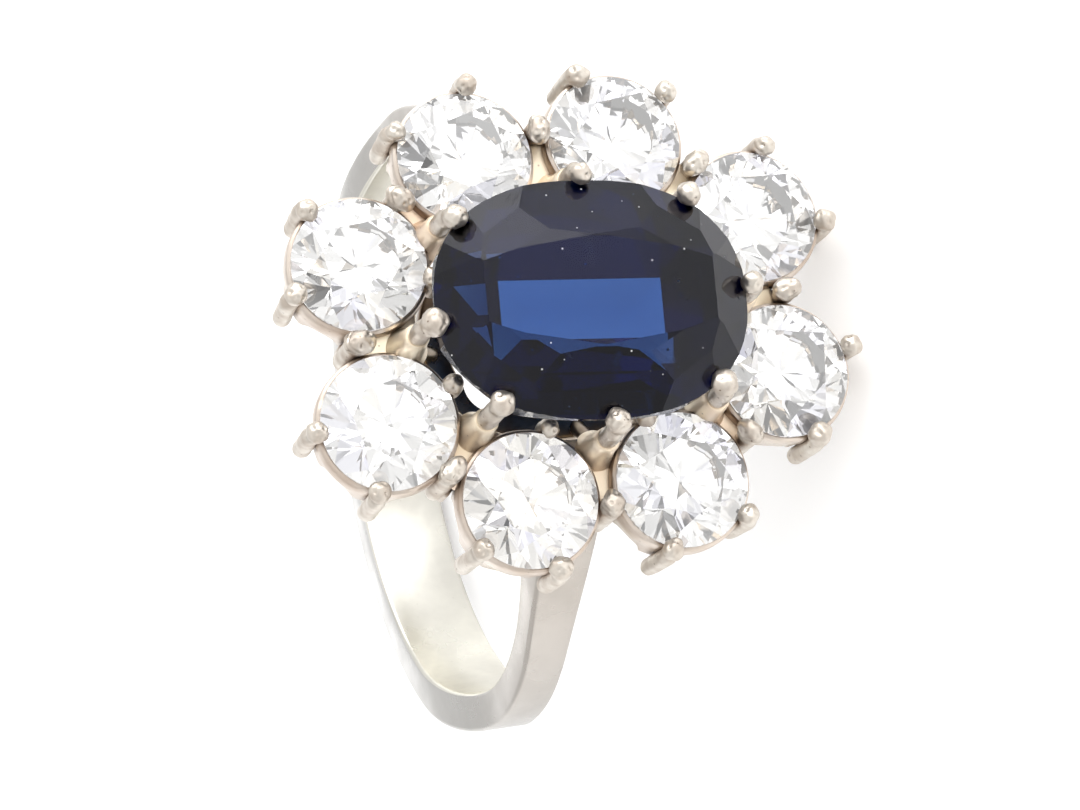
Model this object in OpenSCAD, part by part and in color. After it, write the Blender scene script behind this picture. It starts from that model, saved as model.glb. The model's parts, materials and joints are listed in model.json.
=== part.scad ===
// Cluster ring: an oval sapphire on eight claws, inside a ring of eight round diamonds.
// The ring is worked out in a head frame: U runs along the finger, V across it and W away from the finger,
// with the centre of the finger hole at the origin. The last step lays it on its side, as a ring rests.

/* [Band] */
// Diameter of the finger hole
hole_d = 17.6; // [14:0.05:22]
// Thickness of the band, measured away from the finger
band_t = 1.23; // [0.9:0.01:1.8]
// Width of the band at its base, opposite the stones
base_w = 2.75; // [2:0.05:4]
// Width of the band at the sides of the finger
side_w = 1.35; // [1.1:0.05:2]
// Width of the shoulders where they meet the setting
shoulder_w = 1.75; // [1.4:0.05:2.4]
// Angle above the widest point of the hoop where the shoulders leave the outer circle
shoulder_angle = 28; // [20:1:35]

/* [Setting] */
// Height of the diamonds' girdles above the centre of the finger hole
head_height = 11.46; // [10.5:0.01:14]
// How far the setting sits to one side of the band's middle, along the finger
head_shift = 0.8; // [0:0.05:1.2]
// Depth of the walls round the diamonds
wall_depth = 1.9; // [1.5:0.05:2.1]
// Thickness of the pierced plate between the stones
plate_t = 0.6; // [0.4:0.05:0.9]
// How far the plate lies below the diamonds' girdles
plate_drop = 0.5; // [0.3:0.05:0.6]
// Radius of the claw wires
wire_r = 0.26; // [0.2:0.01:0.3]
// Radius of the beads on the claws that hold one stone
bead_r = 0.33; // [0.28:0.01:0.36]
// Radius of the beads on the claws that two diamonds share
shared_bead_r = 0.4; // [0.34:0.01:0.42]

/* [Diamonds] */
// Diameter of a diamond
gem_d = 4.1; // [3.8:0.05:4.15]
// Place of the four end diamonds along the finger
end_u = 6.22; // [6.2:0.01:6.6]
// Place of the four end diamonds across the finger
end_v = 2.44; // [2.43:0.01:2.55]
// Place of the four side diamonds along the finger
side_u = 2.38; // [2.38:0.01:2.5]
// Place of the four side diamonds across the finger
side_v = 5.34; // [5.34:0.01:5.6]
// How far each diamond leans outwards
gem_tilt = 4; // [0:0.5:6]

/* [Sapphire] */
// Length of the sapphire, along the finger
sapphire_l = 9.6; // [8.5:0.05:9.8]
// Width of the sapphire, across the finger
sapphire_w = 7.34; // [6.5:0.02:7.5]
// Height of the sapphire's girdle above the diamonds' girdles
sapphire_lift = 2.11; // [1.8:0.01:2.6]
// How far the sapphire is turned in its claws
sapphire_turn = -6; // [-8:0.5:8]
// Height of the sapphire's crown
sapphire_crown = 1.15; // [0.8:0.05:1.5]
// Length of the sapphire's table, as a share of its length
table_l = 0.73; // [0.6:0.01:0.75]
// Width of the sapphire's table, as a share of its width
table_w = 0.46; // [0.4:0.01:0.55]
// Depth of the sapphire's pavilion
sapphire_pavilion = 3.16; // [2.6:0.02:3.2]

/* [Hidden] */
$fn = 48;

gap = 0.05;
hole_r = hole_d / 2;
hoop_r = hole_r + band_t;
gem_r = gem_d / 2;

// The four signed corners give the eight diamonds, counted clockwise from the upper left.
// Columns: place along the finger, place across it, and the angles of the two outer claws.
gems = [
    [-side_u,  side_v,   79,  154],
    [ side_u,  side_v,   34,  112],
    [ end_u,   end_v,   -12,   71],
    [ end_u,  -end_v,    12,  -74],
    [ side_u, -side_v,  -38, -111],
    [-side_u, -side_v, -144,  -78],
    [-end_u,  -end_v,  -179, -109],
    [-end_u,   end_v,   199,  126]
];
gem_colour = "#f4f5f8";
metal_colour = "#cdc5ba";

// Directions of the sapphire's claws, which stand in line with the gaps between the diamonds
sapphire_claws = [-2, 38, 85, 142, 182, 220, 270, 318];

// Points of a closed ring of n points at radius r and height z, turned by a
function ring_points(n, r, z, a = 0) = [for (i = [0:n - 1])
    [r * cos(a + 360 * i / n), r * sin(a + 360 * i / n), z]];

// Oval outline: its radius in a direction, for half length a, half width b and fullness e
oval_e = 2.33;
function oval_r(t, a, b) = 1 / pow(pow(abs(cos(t)) / a, oval_e) + pow(abs(sin(t)) / b, oval_e), 1 / oval_e);
function oval(a, b, n = 64) = [for (i = [0:n - 1]) let (t = 360 * i / n, r = oval_r(t, a, b))
    [r * cos(t), r * sin(t)]];

// How far the same outline reaches in a direction
function oval_reach(t, a, b) =
    let (q = oval_e / (oval_e - 1)) pow(pow(a * abs(cos(t)), q) + pow(b * abs(sin(t)), q), 1 / q);

// A brilliant is built from rings of points, from the table down to the culet. m counts the main facets.
// Rings: table (m), star points (m), upper girdle (4m), lower girdle (4m), pavilion points (m), culet.
function brilliant_faces(m) =
    let (star = m, upper = 2 * m, lower = 6 * m, pav = 10 * m, culet = 11 * m, g = 4 * m)
    concat(
        [[for (k = [0:m - 1]) m - 1 - k]],
        [for (k = [0:m - 1]) [k, (k + 1) % m, star + k]],
        [for (k = [0:m - 1]) [k, star + k, upper + 4 * k + 0, star + (k + m - 1) % m]],
        [for (k = [0:m - 1]) for (i = [0:3])
            [star + k, upper + (4 * k + i + 1) % g, upper + (4 * k + i) % g]],
        [for (j = [0:g - 1]) [upper + j, upper + (j + 1) % g, lower + (j + 1) % g, lower + j]],
        [for (k = [0:m - 1]) for (i = [0:3])
            [pav + k, lower + (4 * k + i) % g, lower + (4 * k + i + 1) % g]],
        [for (k = [0:m - 1]) [culet, pav + (k + m - 1) % m, lower + 4 * k, pav + k]]
    );

// Round diamond with its girdle's middle at the origin and its table up
module round_brilliant(r) {
    m = 8;
    girdle = 0.04;
    table_r = 0.57 * r;
    crown = 0.31 * r;
    star_r = 0.81 * r;
    star_z = girdle + crown * (r - star_r * cos(180 / m)) / (r - table_r);
    pavilion = 0.87 * r;
    low_r = 0.24 * r;
    low_z = -girdle - pavilion * (1 - low_r * cos(180 / m) / r);
    points = concat(
        ring_points(m, table_r, girdle + crown),
        ring_points(m, star_r, star_z, 180 / m),
        ring_points(4 * m, r, girdle),
        ring_points(4 * m, r, -girdle),
        ring_points(m, low_r, low_z, 180 / m),
        [[0, 0, -girdle - pavilion]]
    );
    polyhedron(points, brilliant_faces(m), convexity = 2);
}

// One facet: takes away all that lies above a plane, or below it where side is -1. The plane faces
// direction a, slopes down outwards and crosses the point at the given reach and height.
module facet(a, slope, reach, height, side = 1) {
    block = 20;
    rotate([0, 0, a]) translate([reach, 0, height]) rotate([0, side * slope, 0])
        translate([0, 0, side * block / 2]) cube(block, center = true);
}

// Corners of a quarter of the sapphire's table, as shares of its half length and half width, from the middle
// of its side to its end, and the slope of the facet that starts on the edge to the next corner
table_corners = [[0, 1, 16], [0.69, 0.76, 25], [1, 0.55]];

// Facets of the crown that start at the girdle. Columns: direction, slope.
girdle_facets = [[20, 46], [40, 43], [65, 38]];

// Steps of the pavilion. Columns: share of its depth at which the step ends, slope at the stone's ends and
// slope at its sides.
pavilion_steps = [[0.24, 62, 56], [0.92, 48.7, 45], [1, 14, 14]];
pavilion_corner = 54.7;

// Depth at which a step starts, and how far the steps above it have drawn the stone in, at its ends
// (column 1) or at its sides (column 2)
function step_top(i) = i == 0 ? 0 : pavilion_steps[i - 1][0] * sapphire_pavilion;
function step_in(i, column) = i == 0 ? 0
    : step_in(i - 1, column) + (step_top(i) - step_top(i - 1)) / tan(pavilion_steps[i - 1][column]);

// The four directions that mirror one of the first quarter
function mirrored(t) = [t, 180 - t, 180 + t, -t];

// Oval mixed cut with its girdle's middle at the origin: a crown round a long table, over a stepped pavilion.
// A cut stone is convex, so the hull round what its facets leave is the stone itself.
module oval_mixed_cut(a, b) {
    girdle = 0.06;
    top = girdle + sapphire_crown;
    low = -girdle - sapphire_pavilion;
    corners = [for (c = table_corners) [c[0] * a * table_l, c[1] * b * table_w]];
    hull() difference() {
        translate([0, 0, low]) linear_extrude(top - low) polygon(oval(a, b));
        for (t = [0, 180])
            facet(t, atan(sapphire_crown / (a * (1 - table_l))), a, girdle);
        for (t = [90, 270])
            facet(t, atan(sapphire_crown / (b * (1 - table_w))), b, girdle);
        for (i = [0:1]) {
            edge = corners[i + 1] - corners[i];
            out = atan2(edge[0], -edge[1]);
            reach = corners[i] * [cos(out), sin(out)];
            for (t = mirrored(out)) facet(t, table_corners[i][2], reach, top);
        }
        for (f = girdle_facets) for (t = mirrored(f[0]))
            facet(t, f[1], oval_reach(t, a, b), girdle);
        for (t = mirrored(45)) facet(t, pavilion_corner, oval_reach(t, a, b), -girdle, -1);
        for (i = [0:len(pavilion_steps) - 1]) {
            for (t = [0, 180]) facet(t, pavilion_steps[i][1], a - step_in(i, 1), -girdle - step_top(i), -1);
            for (t = [90, 270]) facet(t, pavilion_steps[i][2], b - step_in(i, 2), -girdle - step_top(i), -1);
        }
    }
}

// A claw wire stands this far from the middle of its diamond, and its foot this far below the girdle
claw_reach = gem_r + 0.32;
claw_foot = -wall_depth - 0.1;

// Where the foot of an end claw comes to once its diamond leans outwards, as [U, W] from the stone's middle
end_out = atan2(end_v, end_u);
foot_angle = gems[2][2] - end_out;
foot_radial = claw_reach * cos(foot_angle) * cos(gem_tilt) + claw_foot * sin(gem_tilt);
foot_u = foot_radial * cos(end_out) - claw_reach * sin(foot_angle) * sin(end_out) + wire_r;
foot_drop = claw_foot * cos(gem_tilt) - claw_reach * cos(foot_angle) * sin(gem_tilt);

// Laid on its side: the ring leans until the base of the band and the feet of two end claws touch the surface
touch_u = head_shift + end_u + foot_u;
touch_w = head_height + foot_drop;
rest_angle = atan2(touch_u - base_w / 2, touch_w + hoop_r);

module lay_down() {
    s = sin(rest_angle);
    c = cos(rest_angle);
    multmatrix([[0, 1, 0, 0], [-s, 0, -c, 0], [-c, 0, s, 0], [0, 0, 0, 1]]) children();
}

// Moves its children to the head, with W measured from the diamonds' girdles
module at_head() {
    translate([head_shift, 0, head_height]) children();
}

// Moves its children to one diamond, leaning outwards
module at_gem(gem) {
    out = atan2(gem[1], gem[0]);
    translate([gem[0], gem[1], 0])
        rotate([0, 0, out]) rotate([0, gem_tilt, 0]) rotate([0, 0, -out]) children();
}

// Outline of the band seen from the side: the width, W by W, from the base up to the setting
band_low = -5.5;
band_high = 0.5;
foot_w = head_height - 1.5;
function smooth(t) = t * t * (3 - 2 * t);
band_edge = concat(
    [[base_w / 2, -hoop_r - 1]],
    [for (i = [0:8]) let (t = i / 8)
        [base_w / 2 + (side_w - base_w) / 2 * smooth(t), band_low + (band_high - band_low) * t]],
    [for (i = [1:6]) let (t = i / 6)
        [side_w / 2 + (shoulder_w - side_w) / 2 * smooth(t), 3 + (foot_w - 3) * t]]
);

module band_side_view() {
    polygon(concat(
        [for (p = band_edge) p],
        [for (i = [len(band_edge) - 1:-1:0]) [-band_edge[i][0], band_edge[i][1]]]
    ));
}

// The hoop seen along the finger: a round outer edge that runs straight up into two shoulders
module hoop_front_view() {
    tangent = [hoop_r * cos(shoulder_angle), hoop_r * sin(shoulder_angle)];
    top_v = tangent[0] - (foot_w - tangent[1]) * tan(shoulder_angle);
    inner = 48;
    inner_top = 4.9;
    difference() {
        union() {
            circle(hoop_r, $fn = 180);
            polygon([[tangent[0], tangent[1]], [top_v, foot_w], [-top_v, foot_w], [-tangent[0], tangent[1]]]);
        }
        circle(hole_r, $fn = 180);
        polygon([
            [hole_r * cos(inner), hole_r * sin(inner)], [inner_top, foot_w], [inner_top, foot_w + 2],
            [-inner_top, foot_w + 2], [-inner_top, foot_w], [-hole_r * cos(inner), hole_r * sin(inner)],
            [0, 0]
        ]);
    }
}

module band() {
    intersection() {
        rotate([90, 0, 90]) translate([0, 0, -base_w]) linear_extrude(2 * base_w) hoop_front_view();
        rotate([90, 0, 0]) translate([0, 0, -2 * hoop_r]) linear_extrude(4 * hoop_r) band_side_view();
    }
}

// Wall round one diamond, tapering in towards the finger
wall_out = gem_r + 0.18;
module wall() {
    rotate_extrude() polygon([
        [0.5, 0.02], [wall_out - 0.05, 0.02], [wall_out, -0.2], [wall_out, -0.6], [gem_r - 0.02, -wall_depth],
        [0.5, -wall_depth]
    ]);
}

// What is cut away for one diamond: its seat, the room under its pavilion and the light hole below
module seat() {
    seat_r = gem_r + gap;
    top = 1;
    rotate_extrude() polygon([
        [0, top], [seat_r, top], [seat_r, -0.07], [gem_r - 0.25, -0.33], [gem_r - 0.48, -wall_depth - 0.1],
        [0, -wall_depth - 0.1]
    ]);
}

// Arches that lighten the foot of a wall between its claws
module arches(gem) {
    arch_r = 0.62;
    middle = (gem[2] + gem[3]) / 2;
    for (a = [middle, middle + 68, middle - 68])
        rotate([0, 0, a]) translate([gem_r / 2, 0, -wall_depth - 0.12]) rotate([0, 90, 0])
            cylinder(h = gem_r, r = arch_r);
}

// Upright claw: a wire with a bead that leans over the stone's edge
module claw(reach, foot, top, bead, lean) {
    translate([reach, 0, foot]) cylinder(h = top - foot, r = wire_r);
    translate([reach - lean, 0, top]) sphere(bead);
}

// Claws of one diamond: two on the outside, and a smaller one towards the sapphire that stands on the plate
bead_z = 0.4;
module gem_claws(gem) {
    inward = atan2(-gem[1], -gem[0]);
    plate_foot = -plate_drop - plate_t + 0.1;
    for (a = [gem[2], gem[3]])
        rotate([0, 0, a]) claw(claw_reach, claw_foot, bead_z, bead_r, 0.12);
    rotate([0, 0, inward]) claw(claw_reach - 0.04, plate_foot, bead_z, bead_r - 0.03, 0.1);
}

// Claws between two diamonds, each holding both, on a bridge from wall to wall
module shared_claws() {
    bridge_l = 0.6;
    bridge_w = 0.8;
    bridge_h = 0.8;
    for (i = [0:7]) {
        a = gems[i];
        b = gems[(i + 1) % 8];
        middle = [(a[0] + b[0]) / 2, (a[1] + b[1]) / 2];
        bead_at = norm(middle) + 0.47;
        stem_at = bead_at + 0.15;
        rotate([0, 0, atan2(middle[1], middle[0])]) {
            translate([stem_at, 0, -wall_depth]) cylinder(h = wall_depth + bead_z, r = wire_r + 0.04);
            translate([bead_at - bridge_l / 2, -bridge_w / 2, -wall_depth])
                cube([bridge_l, bridge_w, bridge_h]);
            translate([bead_at, 0, bead_z]) sphere(shared_bead_r);
            translate([stem_at, 0, bead_z]) sphere(shared_bead_r - 0.05);
        }
    }
}

// Short bars that carry the shoulders up to the claws between the side diamonds
module shoulder_bars() {
    bar_r = 0.34;
    bar_l = 1.5;
    bar_v = side_v + 0.56;
    for (side = [-1, 1])
        translate([0, side * bar_v, -0.8]) rotate([side * 142, 0, 0]) cylinder(h = bar_l, r = bar_r);
}

// Pierced plate between the stones, open under the sapphire. Its outer edge runs from diamond to diamond.
opening_a = 4.72;
opening_b = 3.55;
module plate() {
    plate_a = end_u;
    plate_b = side_v - 0.3;
    translate([0, 0, -plate_drop - plate_t]) linear_extrude(plate_t) difference() {
        polygon(oval(plate_a, plate_b));
        polygon(oval(opening_a, opening_b));
    }
}

// Lower rail under the sapphire, smaller than the opening, hung on slanting struts below the claws
rail_a = 4.35;
rail_b = 3.25;
rail_t = 0.65;
rail_h = 0.5;
rail_z = -2.2;
module rail() {
    strut_r = 0.24;
    translate([0, 0, rail_z]) linear_extrude(rail_h) difference() {
        polygon(oval(rail_a, rail_b));
        polygon(oval(rail_a - rail_t, rail_b - rail_t));
    }
    for (a = sapphire_claws) {
        low = oval_r(a, rail_a - rail_t / 2, rail_b - rail_t / 2);
        high = oval_r(a, opening_a + 0.2, opening_b + 0.2);
        rise = -plate_drop - 0.2 - rail_z - rail_h / 2;
        rotate([0, 0, a]) translate([low, 0, rail_z + rail_h / 2]) rotate([0, atan2(high - low, rise), 0])
            cylinder(h = norm([high - low, rise]), r = strut_r);
    }
}

// Claws of the sapphire, standing on the plate's inner edge
module sapphire_claw_ring() {
    top = sapphire_lift + 0.45;
    for (a = sapphire_claws) {
        edge = oval_r(a - sapphire_turn, sapphire_l / 2, sapphire_w / 2);
        rotate([0, 0, a]) claw(edge + wire_r + gap, -plate_drop - 0.3, top - 0.1, wire_r + 0.02, 0);
        rotate([0, 0, a]) translate([edge + 0.17, 0, top]) sphere(bead_r);
    }
}

// Shank, plate, walls and claws, soldered into one piece
module metal() {
    color(metal_colour) lay_down() {
        difference() {
            union() {
                band();
                at_head() {
                    plate();
                    rail();
                    shoulder_bars();
                    for (gem = gems) at_gem(gem) difference() {
                        wall();
                        arches(gem);
                    }
                }
            }
            at_head() for (gem = gems) at_gem(gem) seat();
        }
        at_head() {
            for (gem = gems) at_gem(gem) gem_claws(gem);
            shared_claws();
            sapphire_claw_ring();
        }
    }
}

module sapphire() {
    color("#16204f") lay_down() at_head() translate([0, 0, sapphire_lift]) rotate([0, 0, sapphire_turn])
        oval_mixed_cut(sapphire_l / 2, sapphire_w / 2);
}

module diamond(number) {
    color(gem_colour) lay_down() at_head() at_gem(gems[number - 1]) round_brilliant(gem_r);
}

metal();
sapphire();
diamond(1);  // diamond_1
diamond(2);  // diamond_2
diamond(3);  // diamond_3
diamond(4);  // diamond_4
diamond(5);  // diamond_5
diamond(6);  // diamond_6
diamond(7);  // diamond_7
diamond(8);  // diamond_8
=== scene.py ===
"""Cluster ring: an oval sapphire on eight claws inside a ring of eight round diamonds, on a plain band.

The properties hold sizes in metres, and the meshes are made in millimetres. The setting is made in a head
frame: U runs along the finger, V across it and W away from it, from the middle of the diamonds' girdles.
The band is made along the same directions, from the middle of the finger hole.
"""
import json
import math
import bmesh
import bpy
from mathutils import Matrix, Vector, noise


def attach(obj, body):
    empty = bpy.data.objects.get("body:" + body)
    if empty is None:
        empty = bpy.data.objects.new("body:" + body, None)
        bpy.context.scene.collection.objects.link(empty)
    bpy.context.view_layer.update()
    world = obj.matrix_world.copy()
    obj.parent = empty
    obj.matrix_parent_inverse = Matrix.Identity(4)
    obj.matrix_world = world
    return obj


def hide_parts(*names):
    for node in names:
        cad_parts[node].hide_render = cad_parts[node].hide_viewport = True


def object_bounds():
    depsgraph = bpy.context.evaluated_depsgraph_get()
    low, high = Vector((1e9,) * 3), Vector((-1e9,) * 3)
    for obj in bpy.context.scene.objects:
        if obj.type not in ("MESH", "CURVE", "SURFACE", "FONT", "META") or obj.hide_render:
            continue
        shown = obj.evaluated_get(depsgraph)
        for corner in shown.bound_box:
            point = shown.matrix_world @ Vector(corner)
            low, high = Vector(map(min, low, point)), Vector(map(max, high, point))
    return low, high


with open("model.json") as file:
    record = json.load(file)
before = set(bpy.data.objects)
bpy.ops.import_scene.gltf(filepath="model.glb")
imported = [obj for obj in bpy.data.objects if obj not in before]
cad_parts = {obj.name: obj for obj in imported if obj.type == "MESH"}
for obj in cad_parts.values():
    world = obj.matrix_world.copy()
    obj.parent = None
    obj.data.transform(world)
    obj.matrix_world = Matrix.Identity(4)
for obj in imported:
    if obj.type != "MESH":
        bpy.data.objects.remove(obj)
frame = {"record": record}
CAD_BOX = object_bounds()

bl_info = {
    "name": "Cluster ring",
    "version": (1, 0, 0),
    "blender": (4, 5, 0),
    "location": "3D View > Sidebar > Ring",
    "description": "Dresses the solids of a cluster ring in worn gold and cut stones",
    "category": "Add Mesh",
}

MM = 0.001
BODY = "root"

# Points closer than this are one point, and a cut leaves no edge shorter than a sliver
SAME_POINT = 1e-5
SLIVER = 0.002

# The eight diamonds, counted clockwise from the upper left. Columns: side along the finger, side across it,
# which of the two places on each side, and the angles of the two outer claws.
GEMS = [
    (-1, 1, "side", 79, 154),
    (1, 1, "side", 34, 112),
    (1, 1, "end", -12, 71),
    (1, -1, "end", 12, -74),
    (1, -1, "side", -38, -111),
    (-1, -1, "side", -144, -78),
    (-1, -1, "end", -179, -109),
    (-1, 1, "end", 199, 126),
]

# Directions of the sapphire's claws
SAPPHIRE_CLAWS = [-2, 38, 85, 142, 182, 220, 270, 318]

# Corners of a quarter of the sapphire's table, as shares of its half length and half width, from the middle
# of its side to its end, and the slope of the facet that starts on the edge to the next corner
TABLE_CORNERS = [(0, 1, 16), (0.69, 0.76, 25), (1, 0.55, None)]

# Facets of the sapphire's crown that start at the girdle. Columns: direction, slope.
GIRDLE_FACETS = [(20, 46), (40, 43), (65, 38)]

# Steps of the sapphire's pavilion. Columns: share of the depth at which the step ends, slope at the stone's
# ends, slope at its sides.
PAVILION_STEPS = [(0.24, 62, 56), (0.92, 48.7, 43.8), (1, 14, 14)]

# Slope of the four facets between the ends and the sides of the pavilion
PAVILION_CORNER = 54.7

# Exponent of the sapphire's outline: 2 is an ellipse, and more is fuller
OVAL_FULLNESS = 2.33

# Facets numbered in turn get values this far apart, which spreads them between 0 and 1
GOLDEN_SHARE = 0.618

# Height of the shoulders' ends below the diamonds' girdles
SHOULDER_DROP = 1.5


def scalar(name, text, value, **kind):
    """A property of one number."""
    return bpy.props.FloatProperty(name=name, description=text, default=value, **kind)


def length(name, text, value):
    """A length property, given in millimetres."""
    return scalar(name, text, value * MM, unit="LENGTH", precision=5)


def tilt(name, text, value):
    """An angle property, given in degrees."""
    return scalar(name, text, math.radians(value), subtype="ANGLE")


def colour(name, text, value):
    """A colour property."""
    return bpy.props.FloatVectorProperty(name=name, description=text, default=value, size=3,
                                         subtype="COLOR", min=0, max=1)


class RingSizes(bpy.types.PropertyGroup):
    """Sizes of the ring's metal and stones"""
    hole_d: length("Finger hole", "Diameter of the finger hole", 17.6)
    band_t: length("Band thickness", "Thickness of the band, away from the finger", 1.23)
    base_w: length("Base width", "Width of the band opposite the stones", 2.75)
    side_w: length("Side width", "Width of the band at the sides of the finger", 1.35)
    shoulder_w: length("Shoulder width", "Width of the shoulders at the setting", 1.75)
    shoulder_angle: tilt("Shoulder angle", "Where the shoulders leave the hoop's outer circle", 28)
    head_height: length("Head height", "Height of the girdles over the middle of the finger hole", 11.46)
    head_shift: length("Head shift", "How far the setting sits to one side of the band", 0.8)
    wall_depth: length("Wall depth", "Depth of the walls round the diamonds", 1.9)
    plate_t: length("Plate thickness", "Thickness of the plate between the stones", 0.6)
    plate_drop: length("Plate drop", "Depth of the plate below the girdles", 0.38)
    wire_r: length("Wire radius", "Radius of the claw wires", 0.28)
    bead_r: length("Claw bead", "Radius of the beads on single claws", 0.34)
    shared_bead_r: length("Shared bead", "Radius across the long beads on shared claws", 0.35)
    sapphire_bead_r: length("Sapphire bead", "Radius of the beads on the sapphire's claws", 0.38)
    gem_d: length("Diamond", "Diameter of a diamond", 4.1)
    end_u: length("End diamonds, along", "Place of the end diamonds along the finger", 6.22)
    end_v: length("End diamonds, across", "Place of the end diamonds across the finger", 2.44)
    side_u: length("Side diamonds, along", "Place of the side diamonds along the finger", 2.38)
    side_v: length("Side diamonds, across", "Place of the side diamonds across the finger", 5.34)
    gem_tilt: tilt("Diamond tilt", "How far each diamond leans outwards", 4)
    sapphire_l: length("Sapphire length", "Length of the sapphire", 9.6)
    sapphire_w: length("Sapphire width", "Width of the sapphire", 7.34)
    sapphire_lift: length("Sapphire lift", "Height of the sapphire's girdle over the diamonds'", 2.11)
    sapphire_turn: tilt("Sapphire turn", "How far the sapphire is turned in its claws", -6)
    sapphire_crown: length("Sapphire crown", "Height of the sapphire's crown", 1.15)
    sapphire_pavilion: length("Sapphire pavilion", "Depth of the sapphire's pavilion", 3.16)
    table_l: scalar("Table length", "Table's share of the sapphire's length", 0.73, subtype="FACTOR")
    table_w: scalar("Table width", "Table's share of the sapphire's width", 0.46, subtype="FACTOR")


class RingFinish(bpy.types.PropertyGroup):
    """Colours of the ring's metal and stones"""
    bead: colour("Bead gold", "Colour of the claws", (0.71, 0.66, 0.59))
    bead_dull: colour("Dull beads", "Colour of the claws where they are worn", (0.57, 0.50, 0.43))
    wall: colour("Wall gold", "Colour of the walls round the diamonds", (0.74, 0.665, 0.59))
    wall_dull: colour("Dull walls", "Colour of the walls where they are worn", (0.58, 0.48, 0.40))
    # The band's inner side is lighter than the satin: a polished finish, with painted light where it
    # reflects the bright surround
    polished_lit: colour("Polished gold", "Colour of the band's inner side", (0.86, 0.84, 0.765))
    polished_lit_dull: colour("Rubbed gold", "Colour of the inner side where it is rubbed", (0.70, 0.68, 0.625))
    satin: colour("Satin gold", "Colour of the band", (0.82, 0.81, 0.795))
    satin_dull: colour("Dull satin", "Colour of the band where it is worn", (0.72, 0.71, 0.69))
    plate_cream: colour("Plate, cream", "Lighter colour of the plate between the stones", (1.0, 0.90, 0.70))
    plate_peach: colour("Plate, peach", "Warmer colour of the plate between the stones", (0.97, 0.76, 0.58))
    # The gold of the rail under the sapphire is darkened as painted shade
    painted_rail_shade: colour("Hidden gold", "Colour of the gold under the sapphire", (0.34, 0.29, 0.22))
    # Grime in specks, and the colour of the painted shade in corners and under the sapphire
    grime_and_shade: colour("Grime", "Colour of the dirt in the corners", (0.16, 0.10, 0.065))
    sapphire: colour("Sapphire", "Colour that a millimetre of the sapphire lets through", (0.15, 0.42, 0.71))
    diamond: colour("Diamond", "Tint of most of a diamond's facets", (0.76, 0.755, 0.745))
    # The cool and warm tints are painted fire: coloured flashes on some facets
    diamond_cool: colour("Diamond, cool", "Tint of some of a diamond's facets", (0.70, 0.70, 0.80))
    diamond_warm: colour("Diamond, warm", "Tint of some of a diamond's facets", (0.82, 0.78, 0.71))
    floor: colour("Floor", "Colour of the floor", (0.93, 0.93, 0.93))


class Millimetres:
    """The ring's sizes as plain numbers in millimetres, with angles in radians."""
    def __init__(self, sizes):
        for name, prop in sizes.bl_rna.properties.items():
            if prop.type != "FLOAT":
                continue
            value = getattr(sizes, name)
            setattr(self, name, value / MM if prop.unit == "LENGTH" else value)
        self.gem_r = self.gem_d / 2
        self.hole_r = self.hole_d / 2
        self.hoop_r = self.hole_r + self.band_t
        self.shoulder_top = self.head_height - SHOULDER_DROP
        self.oval = (self.sapphire_l / 2, self.sapphire_w / 2)


def sizes_now():
    """The sizes that the scene holds, in millimetres."""
    return Millimetres(bpy.context.scene.ring_sizes)


def finish_now():
    """The colours that the scene holds."""
    return bpy.context.scene.ring_finish


# Directions and places

def cos(degrees):
    """Cosine of an angle in degrees."""
    return math.cos(math.radians(degrees))


def sin(degrees):
    """Sine of an angle in degrees."""
    return math.sin(math.radians(degrees))


def slope_of(rise, run):
    """Slope or direction in degrees."""
    return math.degrees(math.atan2(rise, run))


def smooth_step(t):
    """A share that starts and ends softly, kept between 0 and 1."""
    t = min(1, max(0, t))
    return t * t * (3 - 2 * t)


def mix(a, b, t):
    """The value between two others at a share of the way."""
    return a + (b - a) * t


def round_point(angle, radius, height):
    """Point at a direction, a distance from the middle and a height."""
    return Vector((math.cos(angle) * radius, math.sin(angle) * radius, height))


def on_hoop(angle, radius):
    """Point (V, W) on a circle round the finger."""
    return Vector((math.cos(angle), math.sin(angle))) * radius


def hole_frame():
    """Places U, V, W in millimetres, from the middle of the finger hole, in the part's frame in metres."""
    along = -Vector(frame["record"]["mounts"][0]["axis"]).normalized()
    across = Vector((1, 0, 0))
    away = along.cross(across)
    turn = Matrix((along, across, away)).transposed().to_4x4()
    return turn @ Matrix.Scale(MM, 4)


def head_frame(size):
    """The same from the middle of the diamonds' girdles."""
    return hole_frame() @ Matrix.Translation((size.head_shift, 0, size.head_height))


def gem_places(size):
    """Middle of each diamond and the angles of its two outer claws, in degrees."""
    where = {"side": (size.side_u, size.side_v), "end": (size.end_u, size.end_v)}
    return [(Vector((su * where[kind][0], sv * where[kind][1], 0)), (first, second))
            for su, sv, kind, first, second in GEMS]


def gem_frame(size, place):
    """Turns a diamond's own frame to its place, leaning outwards."""
    out = slope_of(place.y, place.x)
    lean = at_angle(out) @ Matrix.Rotation(size.gem_tilt, 4, "Y") @ at_angle(-out)
    return Matrix.Translation(place) @ lean


def sapphire_frame(size):
    """Places the sapphire's own frame, turned and lifted, in the head frame."""
    return Matrix.Translation((0, 0, size.sapphire_lift)) @ Matrix.Rotation(size.sapphire_turn, 4, "Z")


def at_angle(degrees):
    """Turns U to a direction."""
    return Matrix.Rotation(math.radians(degrees), 4, "Z")


def out_at(degrees, distance, height=0):
    """Turns U to a direction and moves out along it."""
    return at_angle(degrees) @ Matrix.Translation((distance, 0, height))


def aim(way):
    """Turns W to a direction."""
    return way.to_track_quat("Z", "Y").to_matrix().to_4x4()


def oval_radius(angle, a, b):
    """Radius of the oval outline in a direction, for half length a and half width b."""
    e = OVAL_FULLNESS
    return (abs(math.cos(angle) / a) ** e + abs(math.sin(angle) / b) ** e) ** (-1 / e)


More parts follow.
